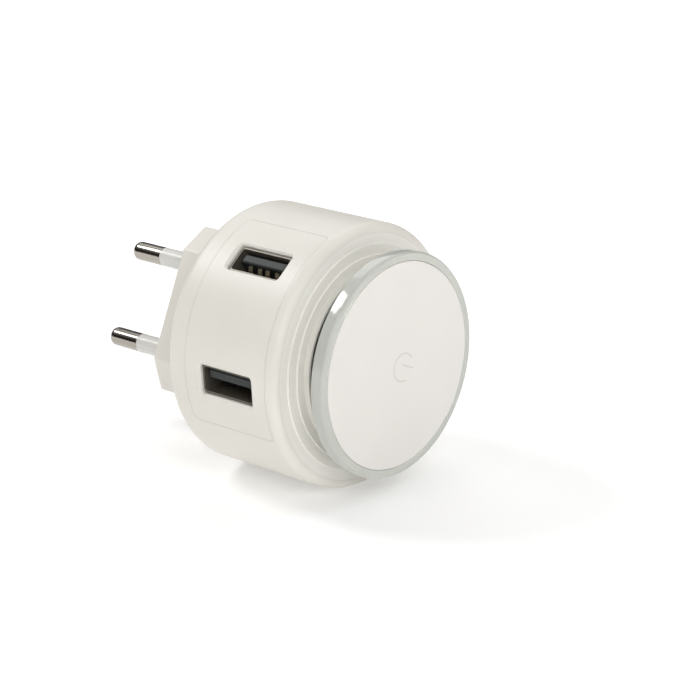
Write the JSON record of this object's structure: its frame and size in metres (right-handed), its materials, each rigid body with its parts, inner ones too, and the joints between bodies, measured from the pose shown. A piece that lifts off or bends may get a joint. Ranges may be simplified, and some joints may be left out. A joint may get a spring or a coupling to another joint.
{
  "type": "usb wall charger",
  "caption": "Round plug-in USB wall charger with side ports, a two-pin flat plug and a clear push night-light disc on its front.",
  "frame": {"origin": "centre of the plug's socket face, midway between the two pins", "axes": "+Y along the pins, away from the charger's body; -Y out of the lamp disc; -X out of the port panel; +Z from the lower pin to the upper pin"},
  "size_m": [0.0538, 0.0765, 0.0538],
  "materials": {
    "housing": "warm white, fine satin",
    "collar": "warm white, fine satin",
    "nickel": "polished nickel plate",
    "sleeve": "glossy white",
    "brass": "rolled",
    "screw_steel": "zinc plated",
    "clear_disc": "polished clear acrylic",
    "face": "smooth white",
    "spring_steel": "drawn wire",
    "black_plastic": "moulded black",
    "grey_plastic": "moulded grey",
    "plunger": "moulded cream",
    "white_board": "white solder mask",
    "led": "phosphor gel in a white case",
    "green_board": "green solder mask",
    "ferrite": "sintered ferrite",
    "winding_tape": "yellow polyester tape",
    "capacitor_sleeve": "shrink sleeve",
    "capacitor_can": "plain can",
    "resistor": "cement coat",
    "blue_ceramic": "dipped ceramic",
    "port_metal": "nickel plated sheet",
    "tongue": "moulded black",
    "gold": "gold flash"
  },
  "bodies": {
    "charger": {"main_housing": "housing", "port_panel": "housing", "front_collar": "collar", "plug_body": "housing", "pin_upper": "nickel", "pin_lower": "nickel", "pin_sleeve_upper": "sleeve", "pin_sleeve_lower": "sleeve", "pin_contact_upper": "brass", "pin_contact_lower": "brass", "base_screws": "screw_steel", "return_springs": "spring_steel", "switch_body": "black_plastic", "led_board": "white_board", "leds": "led", "led_board_screws": "screw_steel", "main_board": "green_board", "transformer_core": "ferrite", "transformer_bobbin": "black_plastic", "transformer_winding": "winding_tape", "input_capacitors": "capacitor_sleeve", "output_capacitors": "capacitor_can", "bridge_rectifier": "black_plastic", "fuse_resistor": "resistor", "choke": "ferrite", "power_chip": "black_plastic", "safety_capacitor": "blue_ceramic", "usb_board": "green_board", "usb_shell_upper": "port_metal", "usb_shell_lower": "port_metal", "usb_tongue_upper": "tongue", "usb_tongue_lower": "tongue", "usb_contacts_upper": "gold", "usb_contacts_lower": "gold", "usb_chip": "black_plastic", "usb_header": "black_plastic", "lamp_header": "black_plastic"},
    "lamp_button": {"lamp_disc": "clear_disc", "face_plate": "face", "button_stem": "grey_plastic"},
    "plunger": {"switch_plunger": "plunger"}
  },
  "joints": [
    {"name": "press_lamp", "type": "slide", "parent": "charger", "child": "lamp_button", "axis": [0, 1, 0], "range_m": [0, 0.0008], "stiffness_N_per_m": 600, "springref_m": -0.002, "deforming": ["return_springs"]},
    {"name": "press_switch", "type": "slide", "parent": "charger", "child": "plunger", "axis": [0, 1, 0], "range_m": [0, 0.0008]}
  ],
  "couplings": [
    {"joint": "press_switch", "follows": "press_lamp", "ratio": 1}
  ]
}
